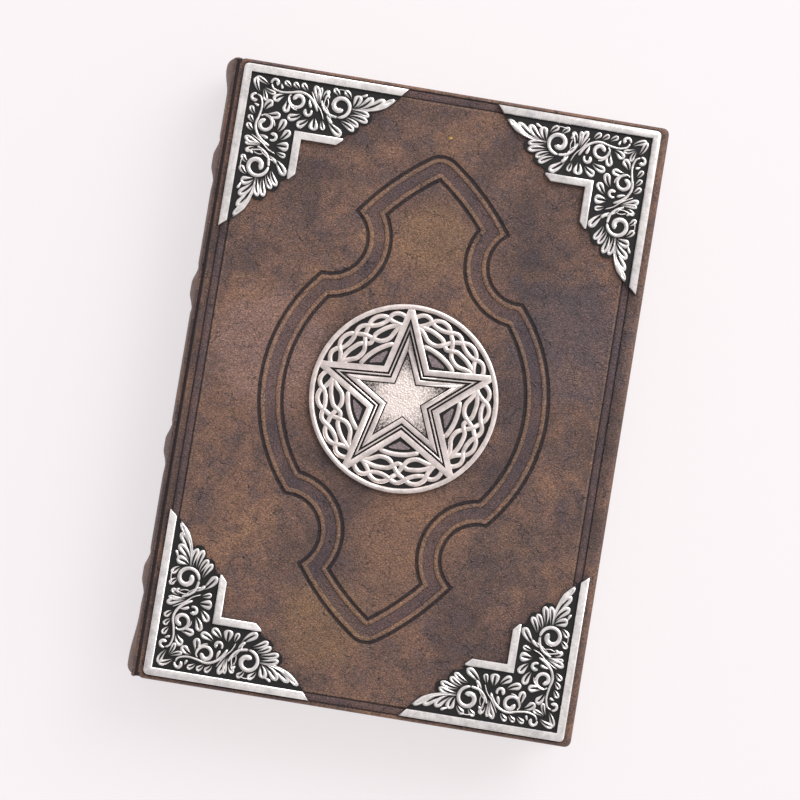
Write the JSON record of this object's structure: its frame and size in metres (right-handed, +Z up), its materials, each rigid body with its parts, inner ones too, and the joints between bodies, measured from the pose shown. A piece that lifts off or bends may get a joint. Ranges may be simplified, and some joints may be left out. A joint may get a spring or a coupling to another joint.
{
  "type": "blank journal",
  "caption": "Leather-bound blank journal with boards that open at the joints, raised spine bands, cast corner plates and a round star medallion.",
  "frame": {"origin": "middle of the book's underside, as it lies on its back cover", "axes": "+Z up through the front cover, +Y to the head of the book, +X to the fore-edge, spine on the -X side"},
  "size_m": [0.1548, 0.216, 0.036],
  "materials": {
    "leather": "mottled brown, lightly grained, satin, darker in the pressed lines",
    "silver": "antique silver plate, polished on the high parts and black in the recesses",
    "pages": "cream uncoated paper, trimmed edges",
    "lining_paper": "heavier cream paper, matt",
    "board": "dense grey-brown binder's board",
    "lining_cloth": "open-weave lining cloth, glued",
    "cord": "twisted hemp cord",
    "band_thread": "sewn thread over a core"
  },
  "bodies": {
    "book_block": {"page_block": "pages", "head_band": "band_thread", "tail_band": "band_thread", "spine_lining": "lining_cloth", "spine_stiffener": "board", "raised_band_1": "cord", "raised_band_2": "cord", "raised_band_3": "cord", "raised_band_4": "cord", "spine_leather": "leather"},
    "front_cover": {"front_board": "board", "front_leather": "leather", "front_pastedown": "lining_paper", "medallion": "silver", "corner_head_spine": "silver", "corner_head_fore": "silver", "corner_tail_spine": "silver", "corner_tail_fore": "silver"},
    "back_cover": {"back_board": "board", "back_leather": "leather", "back_pastedown": "lining_paper"}
  },
  "joints": [
    {"name": "front_joint", "type": "hinge", "parent": "book_block", "child": "front_cover", "pos_m": [-0.07255, 0, 0.0334], "axis": [0, -1, 0], "range_deg": [0, 180]},
    {"name": "back_joint", "type": "hinge", "parent": "book_block", "child": "back_cover", "pos_m": [-0.07255, 0, 0.0006], "axis": [0, 1, 0], "range_deg": [0, 180]}
  ]
}
